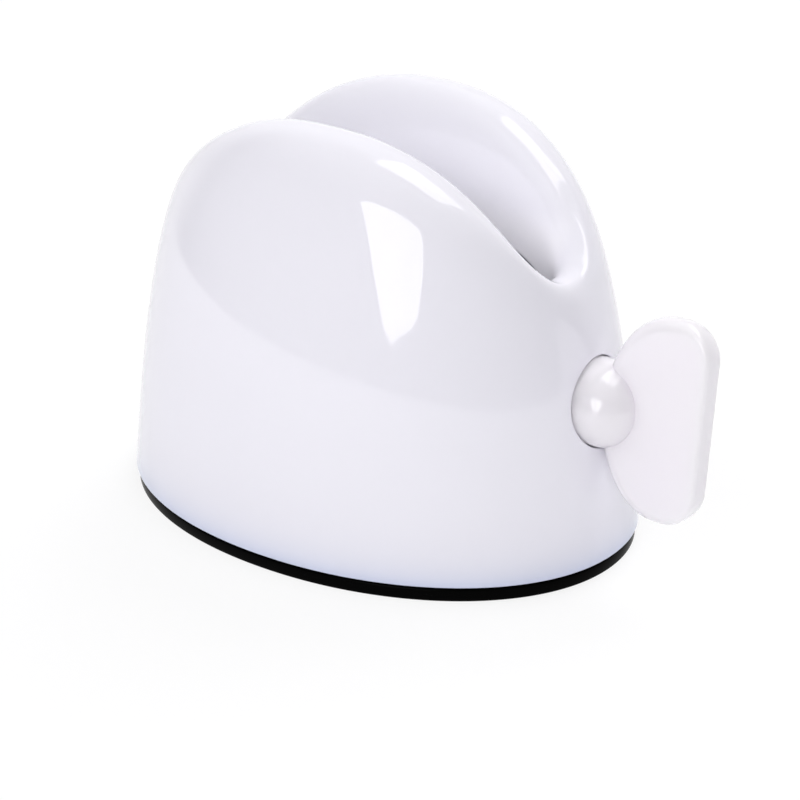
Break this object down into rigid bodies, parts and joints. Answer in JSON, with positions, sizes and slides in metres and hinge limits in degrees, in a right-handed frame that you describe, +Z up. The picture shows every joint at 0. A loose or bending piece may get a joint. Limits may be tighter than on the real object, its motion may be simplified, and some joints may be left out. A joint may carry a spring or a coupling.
{
  "type": "toothpaste tube squeezer",
  "caption": "Free-standing toothpaste tube squeezer: glossy oval dome with a long slot on top, a split winding rod inside, a clear key at one end and a black non-slip mat below.",
  "frame": {"origin": "centre of the mat's underside, where the squeezer stands", "axes": "+X along the slot towards the key, +Z up, +Y across the slot to the back in the picture"},
  "size_m": [0.0983, 0.061, 0.0634],
  "materials": {
    "white_shell": "high-gloss moulded white ABS with a faint cool cast",
    "clear_key": "polished translucent plastic, slightly milky",
    "clear_rod": "translucent plastic, moulded smooth",
    "pale_cover": "white ABS with a fine moulded grain",
    "black_mat": "smooth black rubber with a soft sheen on its edge",
    "screw_steel": "zinc-plated steel"
  },
  "bodies": {
    "housing": {"body_shell": "white_shell", "base_cover": "pale_cover", "non_slip_pad": "black_mat", "base_screw_1": "screw_steel", "base_screw_2": "screw_steel", "base_screw_3": "screw_steel", "base_screw_4": "screw_steel"},
    "key": {"key_handle": "clear_key", "winding_rod": "clear_rod"}
  },
  "joints": [
    {"name": "key_turn", "type": "hinge", "parent": "housing", "child": "key", "pos_m": [0, 0, 0.0261], "axis": [1, 0, 0], "continuous": true}
  ]
}
